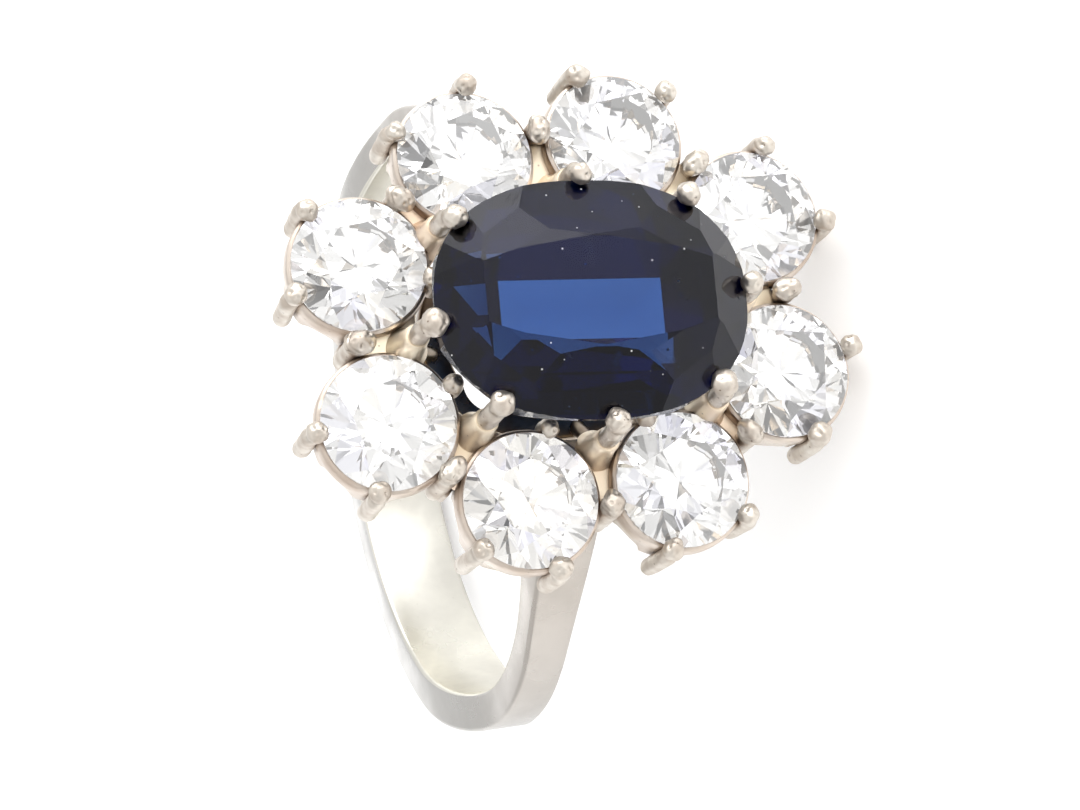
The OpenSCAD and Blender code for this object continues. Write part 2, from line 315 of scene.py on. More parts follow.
def oval_reach(angle, a, b):
    """How far the oval outline reaches in a direction."""
    q = OVAL_FULLNESS / (OVAL_FULLNESS - 1)
    return (abs(a * math.cos(angle)) ** q + abs(b * math.sin(angle)) ** q) ** (1 / q)


def sapphire_edge(size, degrees):
    """Distance from the sapphire's middle to its edge in a direction of the head frame."""
    return oval_radius(math.radians(degrees) - size.sapphire_turn, *size.oval)


# Mesh helpers

def only(kind, geom):
    """The items of one kind among an operator's results."""
    return [item for item in geom if isinstance(item, kind)]


def move(bm, matrix):
    """Moves a whole mesh by a matrix."""
    bmesh.ops.transform(bm, matrix=matrix, verts=bm.verts)


def to_mesh(bm, name):
    """Turns a bmesh into mesh data and frees it."""
    mesh = bpy.data.meshes.new(name)
    bm.to_mesh(mesh)
    bm.free()
    return mesh


def to_object(bm, name):
    """Turns a bmesh into an object of the scene and frees it."""
    made = bpy.data.objects.new(name, to_mesh(bm, name))
    bpy.context.scene.collection.objects.link(made)
    return made


def join(target, source, matrix):
    """Adds a mesh to another, placed by a matrix, and frees it."""
    move(source, matrix)
    mesh = to_mesh(source, "joined")
    target.from_mesh(mesh)
    bpy.data.meshes.remove(mesh)


def extrude(bm, way):
    """Gives a flat mesh its depth, along a vector."""
    grown = bmesh.ops.extrude_face_region(bm, geom=bm.faces[:])["geom"]
    bmesh.ops.translate(bm, vec=way, verts=only(bmesh.types.BMVert, grown))


def cut_away(bm, cutter):
    """Takes one closed mesh out of another, frees both and gives back what is left."""
    kept = to_object(bm, "kept")
    away = to_object(cutter, "cutter")
    cut = kept.modifiers.new("Cut", "BOOLEAN")
    cut.operation = "DIFFERENCE"
    cut.solver = "EXACT"
    cut.object = away
    left = bmesh.new()
    left.from_object(kept, bpy.context.evaluated_depsgraph_get())
    bmesh.ops.remove_doubles(left, verts=left.verts, dist=SLIVER)
    for used in (kept, away):
        mesh = used.data
        bpy.data.objects.remove(used)
        bpy.data.meshes.remove(mesh)
    return left


def turned(points, steps, closed=False):
    """A full turn about W of a profile through points given as (radius, height)."""
    bm = bmesh.new()
    verts = [bm.verts.new((x, 0, z)) for x, z in points]
    pairs = list(zip(verts, verts[1:]))
    if closed:
        pairs.append((verts[-1], verts[0]))
    edges = [bm.edges.new(pair) for pair in pairs]
    bmesh.ops.spin(bm, geom=verts + edges, axis=(0, 0, 1), angle=2 * math.pi, steps=steps, use_merge=True)
    bmesh.ops.remove_doubles(bm, verts=bm.verts, dist=SAME_POINT)
    bmesh.ops.recalc_face_normals(bm, faces=bm.faces)
    return bm


def drum(radius, depth, sides):
    """Upright cylinder round the origin."""
    bm = bmesh.new()
    bmesh.ops.create_cone(bm, cap_ends=True, segments=sides, radius1=radius, radius2=radius, depth=depth)
    return bm


def rod(radius, height):
    """Upright round rod with chamfered ends."""
    edge = radius * 0.3
    return turned([(0, 0), (radius - edge, 0), (radius, edge), (radius, height - edge),
                   (radius - edge, height), (0, height)], 24)


def oval_band(outer, inner, top, depth, edge):
    """Flat oval ring with rounded edges, between two ovals given as half length and half width."""
    bm = bmesh.new()
    bmesh.ops.create_circle(bm, cap_ends=False, segments=160, radius=1)
    grown = bmesh.ops.extrude_edge_only(bm, edges=bm.edges[:])["geom"]
    inside = set(only(bmesh.types.BMVert, grown))
    for vert in bm.verts:
        angle = math.atan2(vert.co.y, vert.co.x)
        vert.co = round_point(angle, oval_radius(angle, *(inner if vert in inside else outer)), top)
    extrude(bm, (0, 0, -depth))
    bmesh.ops.recalc_face_normals(bm, faces=bm.faces)
    round_edges(bm, edge, 4)
    return bm


def round_edges(bm, offset, segments):
    """Rounds the edges where two faces meet at more than 60 degrees."""
    least = math.radians(60)
    edges = [edge for edge in bm.edges if len(edge.link_faces) == 2 and edge.calc_face_angle(0) > least]
    bmesh.ops.bevel(bm, geom=edges, offset=offset, segments=segments, profile=0.5, affect="EDGES",
                    material=-1)


def roughen(bm, amount, scale, seed):
    """Moves each point a little along its normal, so that the metal looks made by hand."""
    bm.normal_update()
    shift = Vector((seed * 3.7, seed * 1.3, -seed * 2.1))
    for vert in bm.verts:
        vert.co += vert.normal * amount * noise.noise(vert.co * scale + shift)


def mark_sharp(bm, degrees):
    """Smooth faces that keep their edge where they meet at more than an angle."""
    limit = math.radians(degrees)
    for face in bm.faces:
        face.smooth = True
    for edge in bm.edges:
        edge.smooth = len(edge.link_faces) == 2 and edge.calc_face_angle(math.pi) < limit


def piece(name, bm, matrix, materials, replaced, sharp=35):
    """Makes a mesh a finished piece in its place. Edges over the sharp angle stay, and at 0 all of them."""
    move(bm, matrix)
    bmesh.ops.recalc_face_normals(bm, faces=bm.faces)
    if sharp:
        mark_sharp(bm, sharp)
    obj = to_object(bm, name)
    for finish in materials:
        obj.data.materials.append(finish)
    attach(obj, BODY)
    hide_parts(replaced)


# Materials

class Tree:
    """Short ways to wire the nodes of a material, a group or the world."""
    def __init__(self, tree):
        self.nodes = tree.nodes
        self.link = tree.links.new

    def feed(self, target, **inputs):
        """Links sockets and sets plain values by the names of the inputs, with _ for a space."""
        for name, value in inputs.items():
            socket = target.inputs[name.replace("_", " ")]
            if isinstance(value, bpy.types.NodeSocket):
                self.link(value, socket)
            else:
                socket.default_value = value

    def node(self, kind, **inputs):
        """A new node with its inputs fed."""
        made = self.nodes.new("ShaderNode" + kind)
        self.feed(made, **inputs)
        return made

    def of_two(self, operation, first, second):
        """What a Math node makes of two values."""
        made = self.node("Math")
        made.operation = operation
        self.link(first, made.inputs[0])
        self.link(second, made.inputs[1])
        return made.outputs[0]

    def ramp(self, value, *stops):
        """The colour of a value on a ramp of (place, grey or colour) stops."""
        made = self.node("ValToRGB", Fac=value)
        elements = made.color_ramp.elements
        while len(elements) < len(stops):
            elements.new(1)
        for element, (place, tone) in zip(elements, stops):
            element.position = place
            element.color = (tone, tone, tone, 1) if isinstance(tone, (int, float)) else (*tone, 1)
        return made.outputs["Color"]

    def blended(self, factor, first, second, blend="MIX"):
        """Two colours mixed by a factor."""
        made = self.node("Mix", Factor=factor)
        made.data_type = "RGBA"
        made.blend_type = blend
        self.link(first, made.inputs[6])
        self.link(second, made.inputs[7])
        return made.outputs[2]

    def facet_value(self, name):
        """A value that each facet holds as an attribute."""
        made = self.node("Attribute")
        made.attribute_name = name
        return made.outputs["Fac"]


def new_material(name):
    """A material, its tree and its Principled BSDF."""
    made = bpy.data.materials.new(name)
    made.use_nodes = True
    return made, Tree(made.node_tree), made.node_tree.nodes["Principled BSDF"]


def shaded_worn_metal_group():
    """Shader group: patchy tone, grime specks, painted shade in the corners that is partly dirt, fine
    scratches and grain.
    """
    name = "Worn metal"
    if name in bpy.data.node_groups:
        return bpy.data.node_groups[name]
    group = bpy.data.node_groups.new(name, "ShaderNodeTree")
    sockets = {
        ("INPUT", "NodeSocketColor"): ("Bright", "Dull", "Grime"),
        ("INPUT", "NodeSocketFloat"): ("Corner", "Patch scale", "Speck", "Smooth", "Rough"),
        ("OUTPUT", "NodeSocketColor"): ("Colour",),
        ("OUTPUT", "NodeSocketFloat"): ("Roughness", "Height"),
    }
    for (way, kind), labels in sockets.items():
        for label in labels:
            group.interface.new_socket(name=label, in_out=way, socket_type=kind)
    tree = Tree(group)
    enter = tree.nodes.new("NodeGroupInput").outputs
    leave = tree.nodes.new("NodeGroupOutput")
    place = tree.node("TexCoord").outputs["Object"]

    bright_to, dull_from = 0.35, 0.65
    patches = tree.node("TexNoise", Vector=place, Scale=enter["Patch scale"], Detail=4.0, Roughness=0.6)
    dull = tree.ramp(patches.outputs["Fac"], (bright_to, 0), (dull_from, 1))
    metal = tree.blended(dull, enter["Bright"], enter["Dull"])
    specks = tree.node("TexVoronoi", Vector=place, Scale=2600.0)
    spot = tree.ramp(specks.outputs["Distance"], (0.05, 1), (0.11, 0))
    # Grime specks, and painted shade in the corners that is partly dirt
    dirt_and_shade = tree.of_two("MAXIMUM", tree.of_two("MULTIPLY", spot, enter["Speck"]), enter["Corner"])
    gloss = tree.node("MapRange", Value=patches.outputs["Fac"], From_Min=bright_to, From_Max=dull_from,
                      To_Min=enter["Smooth"], To_Max=enter["Rough"])

    slant = tree.node("Mapping", Vector=place, Scale=(500, 4500, 2500), Rotation=(0.4, 0.3, 0.6))
    scratches = tree.node("TexNoise", Vector=slant.outputs["Vector"], Scale=1.0, Detail=3.0)
    grain = tree.node("TexNoise", Vector=place, Scale=9000.0)
    relief = tree.of_two("ADD", scratches.outputs["Fac"], grain.outputs["Fac"])
    tree.feed(leave, Colour=tree.blended(dirt_and_shade, metal, enter["Grime"]), Roughness=gloss.outputs["Result"],
              Height=relief)
    return group


def painted_light_along(tree, tone, stops):
    """Paints light and shade along the ring by multiplying a colour: the stops go from the setting to the
    base of the band.
    """
    place = tree.node("TexCoord")
    split = tree.node("SeparateXYZ", Vector=place.outputs["Object"])
    way = tree.node("MapRange", Value=split.outputs["Y"], From_Min=-9 * MM, From_Max=10 * MM)
    return tree.blended(1, tone, tree.ramp(way.outputs["Result"], *stops), blend="MULTIPLY")


def gold_material(name, bright, dull, patch, smooth, rough, bump=0.15, reach=0.35, dirt_and_shade=0.8, specks=0.55,
                  metallic=1.0, along=None):
    """White gold with dirt in its corners, and a tint that changes along the ring where one is given.

    Patch is the scale of its patches, and reach is how far the painted corner shade spreads, in millimetres.
    """
    made, tree, bsdf = new_material(name)
    # Ambient occlusion darkens the corners: painted shade, partly dirt
    corners = tree.node("AmbientOcclusion", Distance=reach * MM)
    corners.samples = 8
    wear = tree.nodes.new("ShaderNodeGroup")
    wear.node_tree = shaded_worn_metal_group()
    tree.feed(wear, Bright=(*bright, 1), Dull=(*dull, 1), Grime=(*finish_now().grime_and_shade, 1), Patch_scale=patch,
              Speck=specks, Smooth=smooth, Rough=rough,
              Corner=tree.ramp(corners.outputs["AO"], (0.15, dirt_and_shade), (0.7, 0)))
    tone = wear.outputs["Colour"]
    # Painted light and shade along the band, where stops are given
    if along:
        tone = painted_light_along(tree, tone, along)
    relief = tree.node("Bump", Strength=bump, Distance=0.01 * MM, Height=wear.outputs["Height"])
    tree.feed(bsdf, Base_Color=tone, Metallic=metallic, Roughness=wear.outputs["Roughness"],
              Normal=relief.outputs["Normal"])
    return made


def diamond_material():
    """Clear stone with warm and cool painted fire on some facets, and a faint painted glow of its own that
    lifts its longest paths.
    """
    finish = finish_now()
    made, tree, bsdf = new_material("Diamond")
    # Each facet's fire value picks its tint: painted fire on some facets
    tint = tree.ramp(tree.facet_value("fire"), (0.08, finish.diamond_warm), (0.14, finish.diamond),
                     (0.78, finish.diamond), (0.84, finish.diamond_cool))
    tree.feed(bsdf, Base_Color=tint, Emission_Color=(1, 0.99, 0.975, 1), Emission_Strength=0.045,
              Roughness=0.0, IOR=2.417, Transmission_Weight=1.0)
    return made


def sapphire_material():
    """Blue stone that darkens with the way of the light through it, with painted shade on its crown and
    pavilion facets, scuffs, dust and painted glints that glow.
    """
    made, tree, bsdf = new_material("Sapphire")
    place = tree.node("TexCoord").outputs["Object"]
    slant = tree.node("Mapping", Vector=place, Scale=(260, 3400, 900), Rotation=(0.5, 0.2, 0.9))
    scratches = tree.node("TexNoise", Vector=slant.outputs["Vector"], Scale=1.0)
    scuffs = tree.ramp(scratches.outputs["Fac"], (0.66, 0), (0.74, 0.22))
    grit = tree.node("TexVoronoi", Vector=place, Scale=900.0)
    dust = tree.ramp(grit.outputs["Distance"], (0.035, 0.8), (0.045, 0))
    # Specks that glow on their own: painted glints
    painted_glint_cells = tree.node("TexVoronoi", Vector=place, Scale=1700.0)
    specks = tree.ramp(painted_glint_cells.outputs["Distance"], (0.035, 0.8), (0.055, 0))
    # Base colour from each facet's clearness: the dark crown and pavilion facets are painted shade
    tree.feed(bsdf, Base_Color=tree.facet_value("clearness"), Roughness=tree.of_two("MAXIMUM", scuffs, dust),
              Emission_Color=specks, Emission_Strength=1.0, IOR=1.77, Transmission_Weight=1.0,
              Specular_Tint=(0.34, 0.34, 0.38, 1))
    depth = tree.node("VolumeAbsorption", Color=(*finish_now().sapphire, 1), Density=1 / MM)
    tree.feed(tree.nodes["Material Output"], Volume=depth.outputs["Volume"])
    return made


# Band

def band_width(size, w):
    """Width of the band at a height W over the middle of the finger hole."""
    base_to, side_at, side_to = -5.5, 0.5, 3
    if w < side_at:
        return mix(size.base_w, size.side_w, smooth_step((w - base_to) / (side_at - base_to)))
    rise = (w - side_to) / (size.shoulder_top - side_to)
    return mix(size.side_w, size.shoulder_w, smooth_step(rise))


def shoulder_ends(size):
    """Outer and inner end points of a shoulder at its foot and its top, as (V, W)."""
    top = size.shoulder_top
    outer_foot = on_hoop(size.shoulder_angle, size.hoop_r)
    outer_top = Vector((outer_foot.x - (top - outer_foot.y) * math.tan(size.shoulder_angle), top))
    inner_foot = on_hoop(math.radians(48), size.hole_r)
    inner_top = Vector((4.9, top))
    return outer_foot, outer_top, inner_foot, inner_top


def band_mesh(size):
    """Hoop with two shoulders: a strip spun round the finger, run up to the setting and given its width."""
    hoop_steps, arc_rows, rows = 72, 8, 20
    outer_foot, outer_top, inner_foot, inner_top = shoulder_ends(size)
    bend = math.atan2(inner_foot.y, inner_foot.x)
    bm = bmesh.new()
    base = [bm.verts.new((-0.5, 0, -radius)) for radius in (size.hole_r, size.hoop_r)]
    first = bm.edges.new(base)
    for way in (1, -1):
        spun = bmesh.ops.spin(bm, geom=base + [first], axis=(1, 0, 0), steps=hoop_steps,
                              angle=way * (math.pi / 2 + size.shoulder_angle))
        last = only(bmesh.types.BMVert, spun["geom_last"])
        inner, outer = sorted(last, key=lambda vert: vert.co.yz.length)
        for row in range(1, rows + 1):
            if row <= arc_rows:
                inside = on_hoop(mix(size.shoulder_angle, bend, row / arc_rows), size.hole_r)
            else:
                inside = inner_foot.lerp(inner_top, (row - arc_rows) / (rows - arc_rows))
            outside = outer_foot.lerp(outer_top, row / rows)
            next_inner = bm.verts.new((-0.5, way * inside.x, inside.y))
            next_outer = bm.verts.new((-0.5, way * outside.x, outside.y))
            bm.faces.new((inner, outer, next_outer, next_inner))
            inner, outer = next_inner, next_outer
    extrude(bm, (1, 0, 0))
    for vert in bm.verts:
        vert.co.x *= band_width(size, vert.co.z)
    bmesh.ops.recalc_face_normals(bm, faces=bm.faces)
    round_edges(bm, 0.16, 3)
    mark_inner_side(bm)
    return bm


def mark_inner_side(bm):
    """Gives the faces that look at the finger the band's second material, the polished gold that is painted
    lighter.
    """
    facing = 0.7
    bm.normal_update()
    for face in bm.faces:
        middle = face.calc_center_median()
        outwards = Vector((0, middle.y, middle.z)).normalized()
        if face.normal.dot(outwards) < -facing:
            face.material_index = 1


# Setting

def walls_mesh(size):
    """The walls round the eight diamonds."""
    bm = bmesh.new()
    for place, claws in gem_places(size):
        join(bm, wall_mesh(size, claws), gem_frame(size, place))
    return bm


def wall_mesh(size, claws):
    """Wall round one diamond, with a bright rim, a seat for the stone and arches between its claws."""
    gem_r, deep = size.gem_r, size.wall_depth
    out = gem_r + 0.14
    arch_top, arch_r, arch_foot = -0.85, 0.62, 0.02
    arch_turns = (0, 68, -68)
    section = [
        (gem_r - 0.02, -0.06), (gem_r + 0.03, -0.06), (out - 0.04, -0.11), (out - 0.01, -0.2), (out, -0.35),
        (out, -0.6), (out - 0.05, -0.95), (out - 0.1, -1.25), (gem_r, -deep + 0.12),
        (gem_r - 0.04, -deep), (gem_r - 0.36, -deep), (gem_r - 0.48, -deep + 0.1), (gem_r - 0.4, -1.2),
        (gem_r - 0.33, -0.8), (gem_r - 0.25, -0.33),
    ]
    bm = turned(section, 96, closed=True)
    middle = math.radians(sum(claws) / 2)
    for vert in bm.verts:
        angle = math.atan2(vert.co.y, vert.co.x)
        lift = 0
        for turn in arch_turns:
            away = (angle - middle - math.radians(turn) + math.pi) % (2 * math.pi) - math.pi
            across = away * gem_r / arch_r
            if abs(across) < 1:
                lift = max(lift, arch_r * math.sqrt(1 - across * across) + arch_foot)
        if vert.co.z < arch_top:
            vert.co.z = mix(arch_top, vert.co.z, 1 - lift / (deep + arch_top))
    roughen(bm, amount=0.02, scale=1.6, seed=claws[0])
    return bm


def plate_mesh(size):
    """Oval plate between the stones, cut away where the walls of the diamonds stand."""
    outer = (size.end_u + 0.3, size.side_v + 0.3)
    opening = (4.72, 3.55)
    seats = bmesh.new()
    for place, _ in gem_places(size):
        join(seats, drum(size.gem_r + 0.08, 4, 64), gem_frame(size, place))
    return cut_away(oval_band(outer, opening, -size.plate_drop, size.plate_t, 0.14), seats)


def collars_mesh(size):
    """Flared collars that carry the sapphire's claws on the plate."""
    bm = bmesh.new()
    low = -size.plate_drop
    flare = [(0, -0.15), (0.62, -0.15), (0.66, -0.06), (0.62, 0.03), (0.54, 0.18), (0.48, 0.42),
             (0.44, 0.75), (0.41, 1.1), (0.39, 1.4), (0.34, 1.48), (0, 1.48)]
    for angle in SAPPHIRE_CLAWS:
        collar = turned([(radius, low + height) for radius, height in flare], 40)
        roughen(collar, amount=0.02, scale=2.0, seed=angle)
        join(bm, collar, out_at(angle, sapphire_edge(size, angle) + size.wire_r + 0.07))
    return bm


def rail_mesh(size):
    """Lower rail under the sapphire on slanting struts, and the bars that carry the shoulders."""
    outer_a, outer_b, rail_t, rail_h, rail_z = 4.35, 3.25, 0.85, 0.5, -2.2
    strut_r, strut_top = 0.24, (4.92, 3.75)
    bar_r, bar_l, bar_slant = 0.34, 1.5, 142
    bm = oval_band((outer_a, outer_b), (outer_a - rail_t, outer_b - rail_t), rail_z + rail_h, rail_h, 0.12)
    recess = drum(0.95, 2, 48)
    move(recess, out_at(208, 2.62, rail_z))
    bm = cut_away(bm, recess)
    for angle in SAPPHIRE_CLAWS:
        turn = math.radians(angle)
        low = oval_radius(turn, outer_a - rail_t / 2, outer_b - rail_t / 2)
        start = Vector((low, 0, rail_z + rail_h / 2))
        way = Vector((oval_radius(turn, *strut_top), 0, -size.plate_drop - 0.2)) - start
        join(bm, rod(strut_r, way.length), at_angle(angle) @ Matrix.Translation(start) @ aim(way))
    for side in (-1, 1):
        start = Vector((0, side * (size.side_v + 0.56), -0.8))
        way = Vector((0, -side * sin(bar_slant), cos(bar_slant)))
        join(bm, rod(bar_r, bar_l), Matrix.Translation(start) @ aim(way))
    return bm


# Claws

def claw_profile(wire, foot, top, bead):
    """Profile of a claw from its foot up, as (radius, height): a wire with a rounded foot under a bead."""
    neck, cap_step = -42, 6
    full = foot + 0.16
    low = top + bead * sin(neck)
    rows = max(2, int((low - foot) / 0.12))
    points = [(0, foot), (wire * 0.75, foot), (wire * 0.93, foot + 0.05), (wire, full)]
    points += [(wire, mix(full, low - 0.08, row / rows)) for row in range(1, rows + 1)]
    points += [(bead * cos(angle), top + bead * sin(angle)) for angle in range(neck, 90, cap_step)]
    return points + [(0, top + bead)]


def claw_mesh(seed, wire, foot, top, bead, lean=0.0, stretch=1.0, pits=3, grooves=0):
    """One claw with a bead worn by hand, which leans over the stone and may be stretched away from it."""
    shift = Vector((seed * 5.3, -seed * 2.9, seed * 1.7))
    bead *= 1 + 0.25 * noise.noise(shift)
    bm = turned(claw_profile(wire, foot, top, bead), 48)
    crown = top - bead
    neck = 0.25
    for vert in bm.verts:
        rise = smooth_step((vert.co.z - crown + neck) / (bead + neck))
        vert.co.x *= mix(1, stretch, rise)
        vert.co.x -= lean * rise
    bm.normal_update()
    for vert in bm.verts:
        rise = smooth_step((vert.co.z - crown) / bead)
        lump = noise.noise(vert.co * 3.1 + shift) * 0.065 + noise.noise(vert.co * 7.5 + shift) * 0.018
        vert.co += vert.normal * lump * mix(0.35, 1, rise)
    press_grooves(bm, grooves, top, lean)
    press_pits(bm, pits, seed, top, bead, lean, stretch)
    return bm


def press_grooves(bm, count, top, lean):
    """Presses slanting grooves into the outer side of a claw's bead and neck."""
    first, spacing, slant, width, depth = 0.1, 0.17, 0.35, 0.035, 0.045
    for number in range(count):
        for vert in bm.verts:
            level = vert.co.z - slant * vert.co.x - top - first + spacing * number
            if vert.co.x > -lean:
                vert.co -= vert.normal * depth * math.exp(-(level / width) ** 2)


def press_pits(bm, count, seed, top, bead, lean, stretch):
    """Presses small round pits into the top of a claw's bead."""
    depth, reach = 0.06, 1.6
    for number in range(count):
        spin = 2.4 * number + seed * 1.9
        off = math.radians(35 + 22 * noise.noise(Vector((seed, number, 0.5))))
        spot = Vector((bead * math.sin(off) * math.cos(spin) * stretch - lean,
                       bead * math.sin(off) * math.sin(spin), top + bead * math.cos(off)))
        radius = 0.085 + 0.03 * noise.noise(Vector((number, seed, 3.3)))
        for vert in bm.verts:
            near = (vert.co - spot).length / radius
            if near < reach:
                vert.co -= vert.normal * depth * math.exp(-near * near * 1.6)


def gem_claws_mesh(size):
    """Two outer claws and a smaller inner one for each diamond."""
    bm = bmesh.new()
    reach = size.gem_r + 0.32
    foot = -size.wall_depth - 0.1
    inner_foot = -size.plate_drop - size.plate_t + 0.1
    for number, (place, angles) in enumerate(gem_places(size)):
        stand = gem_frame(size, place)
        for side, angle in enumerate(angles):
            claw = claw_mesh(10 * number + side, size.wire_r, foot, 0.4, size.bead_r, lean=0.16)
            join(bm, claw, stand @ out_at(angle, reach))
        inward = slope_of(-place.y, -place.x)
        claw = claw_mesh(10 * number + 5, size.wire_r, inner_foot, 0.38, size.bead_r - 0.04, lean=0.12,
                         pits=2)
        join(bm, claw, stand @ out_at(inward, reach - 0.04))
    return bm


def shared_claws_mesh(size):
    """Long claws between two diamonds, on bridges from wall to wall."""
    bm = bmesh.new()
    bridge_size = (0.6, 0.8, 0.8)
    places = [place for place, _ in gem_places(size)]
    for number, place in enumerate(places):
        middle = (place + places[(number + 1) % len(places)]) / 2
        out = slope_of(middle.y, middle.x)
        bead_at = middle.length + 0.47
        claw = claw_mesh(101 + 7 * number, size.wire_r + 0.04, -size.wall_depth, 0.4, size.shared_bead_r,
                         lean=0.07, stretch=1.4, pits=4, grooves=2)
        join(bm, claw, out_at(out, bead_at + 0.1))
        bridge = bmesh.new()
        bmesh.ops.create_cube(bridge, size=1)
        bmesh.ops.scale(bridge, vec=bridge_size, verts=bridge.verts)
        bridge.normal_update()
        round_edges(bridge, 0.12, 3)
        join(bm, bridge, out_at(out, bead_at, bridge_size[2] / 2 - size.wall_depth))
    return bm


def sapphire_claws_mesh(size):
    """Claws of the sapphire, which stand on the plate's inner edge and are cut clear of the stone."""
    bm = bmesh.new()
    foot = -size.plate_drop - 0.3
    top = size.sapphire_lift + 0.36
    for number, angle in enumerate(SAPPHIRE_CLAWS):
        claw = claw_mesh(211 + 3 * number, size.wire_r + 0.03, foot, top, size.sapphire_bead_r, lean=0.2,
                         pits=2)
        join(bm, claw, out_at(angle, sapphire_edge(size, angle) + size.wire_r + 0.05))
    room = sapphire_mesh(size)
    move(room, sapphire_frame(size) @ Matrix.Diagonal((1.008, 1.01, 1.02, 1)))
    return cut_away(bm, room)


# Stones

def facet(bm, outward, slope, reach, height, below=False):
    """Cuts a stone along a plane through a point. It slopes down outwards, or up if it is below."""
    rise = -cos(slope) if below else cos(slope)
    cut = bmesh.ops.bisect_plane(bm, geom=bm.verts[:] + bm.edges[:] + bm.faces[:], dist=SAME_POINT,
                                 plane_co=round_point(outward, reach, height),
                                 plane_no=round_point(outward, sin(slope), rise), clear_outer=True)
    edges = only(bmesh.types.BMEdge, cut["geom_cut"])
    if len(edges) > 2:
        bmesh.ops.contextual_create(bm, geom=edges)


def blank_stone(outline, low, high):
    """Upright prism that a stone is cut from, with its outline given as a radius for each direction."""
    bm = bmesh.new()
    bmesh.ops.create_circle(bm, cap_ends=True, segments=64, radius=1)
    for vert in bm.verts:
        angle = math.atan2(vert.co.y, vert.co.x)
        vert.co = round_point(angle, outline(angle), low)
    extrude(bm, (0, 0, high - low))
    return bm


def brilliant_mesh(size):
    """Round brilliant: a table, 8 stars, 8 mains and 16 halves over 8 mains and 16 halves below.

    The table, the depths and the tips of the stars and the lower halves are shares of the stone's radius.
    """
    gem_r = size.gem_r
    girdle, table, crown, pavilion = 0.04, 0.57, 0.31, 0.87
    star, low = 0.81, 0.24
    eighth, sixteenth = 22.5, 11.25
    wide, narrow = cos(eighth), cos(sixteenth)
    top = girdle + crown * gem_r
    bm = blank_stone(lambda angle: gem_r, -girdle - pavilion * gem_r, top)
    main = crown / (1 - table)
    half = main * (1 - star * wide) / (1 - star * narrow)
    star_slope = (crown - main * (1 - star * wide)) / (star - table * wide)
    low_half = pavilion * (1 - low * wide) / (1 - low * narrow)
    for k in range(8):
        turn = math.radians(45 * k)
        facet(bm, turn, slope_of(main, 1), gem_r, girdle)
        facet(bm, turn + math.radians(eighth), slope_of(star_slope, 1), table * wide * gem_r, top)
        facet(bm, turn, slope_of(pavilion, 1), gem_r, -girdle, below=True)
        for side in (-sixteenth, sixteenth):
            between = turn + math.radians(side)
            facet(bm, between, slope_of(half, 1), gem_r, girdle)
            facet(bm, between, slope_of(low_half, 1), gem_r, -girdle, below=True)
    # Values that pick each facet's painted fire tint
    fire = bm.faces.layers.float.new("fire")
    for number, face in enumerate(bm.faces):
        face[fire] = number * GOLDEN_SHARE % 1
    return bm


def mirrored(degrees):
    """The directions, in radians, that mirror one of the first quarter."""
    turns = {round(t % 360, 4) for t in (degrees, 180 - degrees, 180 + degrees, -degrees)}
    return [math.radians(t) for t in sorted(turns)]


def sapphire_mesh(size):
    """Oval mixed cut: a crown round a long table, over a stepped pavilion."""
    a, b = size.oval
    girdle, crown, pavilion = 0.06, size.sapphire_crown, size.sapphire_pavilion
    top = girdle + crown
    bm = blank_stone(lambda angle: oval_radius(angle, a, b), -girdle - pavilion, top)
    for way, half, share in ((0, a, size.table_l), (90, b, size.table_w)):
        for turn in mirrored(way):
            facet(bm, turn, slope_of(crown, half * (1 - share)), half, girdle)
    corners = [Vector((u * a * size.table_l, v * b * size.table_w)) for u, v, _ in TABLE_CORNERS]
    for start, end, (_, _, slope) in zip(corners, corners[1:], TABLE_CORNERS):
        edge = end - start
        out = math.atan2(edge.x, -edge.y)
        reach = start.x * math.cos(out) + start.y * math.sin(out)
        for turn in mirrored(math.degrees(out)):
            facet(bm, turn, slope, reach, top)
    for direction, slope in GIRDLE_FACETS:
        for turn in mirrored(direction):
            facet(bm, turn, slope, oval_reach(turn, a, b), girdle)
    for turn in mirrored(45):
        facet(bm, turn, PAVILION_CORNER, oval_reach(turn, a, b), -girdle, below=True)
    depth, end_in, side_in = 0.0, 0.0, 0.0
    for share, end_slope, side_slope in PAVILION_STEPS:
        for turn in mirrored(0):
            facet(bm, turn, end_slope, a - end_in, -girdle - depth, below=True)
        for turn in mirrored(90):
            facet(bm, turn, side_slope, b - side_in, -girdle - depth, below=True)
        step = share * pavilion - depth
        end_in += step / math.tan(math.radians(end_slope))
        side_in += step / math.tan(math.radians(side_slope))
        depth = share * pavilion
    mark_painted_clearness(bm)
    return bm


def mark_painted_clearness(bm):
    """Gives each facet the share of light that it lets through: all of it where it is nearly flat, and
    little on the crown and the pavilion, a painted shade that darkens those facets.
    """
    flat, clear, crown, pavilion = 15, 1.0, 0.2, 0.07
    bm.normal_update()
    clearness = bm.faces.layers.float.new("clearness")
    for face in bm.faces:
        slope = math.degrees(math.acos(min(1, abs(face.normal.z))))
        if slope < flat:
            face[clearness] = clear
        else:
            face[clearness] = crown if face.normal.z > 0 else pavilion


# Operators

class RingOperator(bpy.types.Operator):
    """Builds a part of the ring"""
    bl_options = {"REGISTER", "UNDO"}


